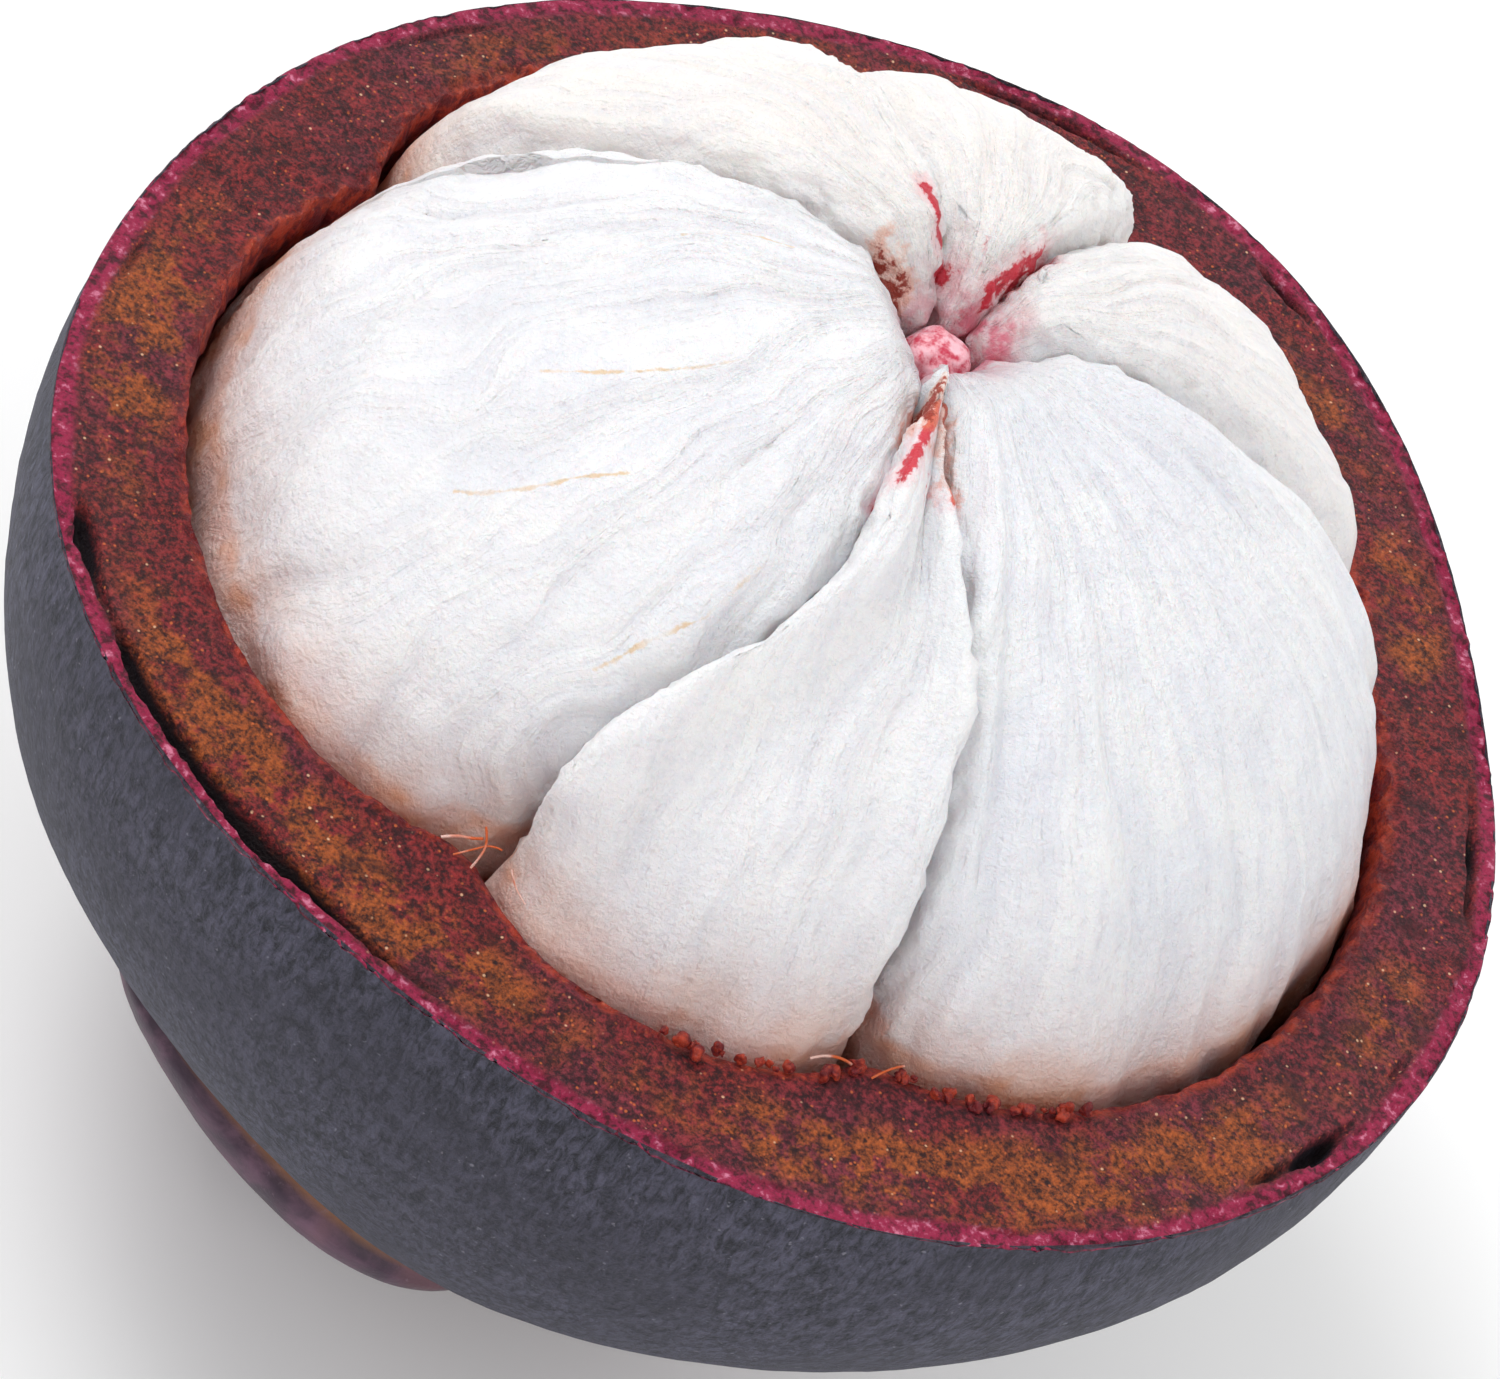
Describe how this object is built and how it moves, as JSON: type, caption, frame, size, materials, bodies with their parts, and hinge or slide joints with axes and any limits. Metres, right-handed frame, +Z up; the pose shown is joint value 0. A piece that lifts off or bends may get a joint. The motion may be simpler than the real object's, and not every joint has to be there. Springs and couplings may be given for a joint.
{
  "type": "mangosteen",
  "caption": "Cut mangosteen standing on its cut stem, its calyx cupped round the underside: a thick rind bowl cut level, with a dome of soft white arils standing in it.",
  "frame": {"origin": "on the table, under the middle of the bounding box", "axes": "+Z up along the axis of the fruit, square to the cut face; -Y towards the narrow front aril"},
  "size_m": [0.0624, 0.0634, 0.051],
  "materials": {
    "rind": "matte",
    "aril": "satin",
    "core": "matte",
    "sepal": "matte",
    "stem": "matte"
  },
  "bodies": {
    "root": {"rind": "rind", "aril_front": "aril", "aril_right": "aril", "aril_right_back": "aril", "aril_back": "aril", "aril_left_back": "aril", "aril_left": "aril", "core": "core", "sepal_front": "sepal", "sepal_right": "sepal", "sepal_back": "sepal", "sepal_left": "sepal", "stem": "stem"}
  },
  "joints": []
}
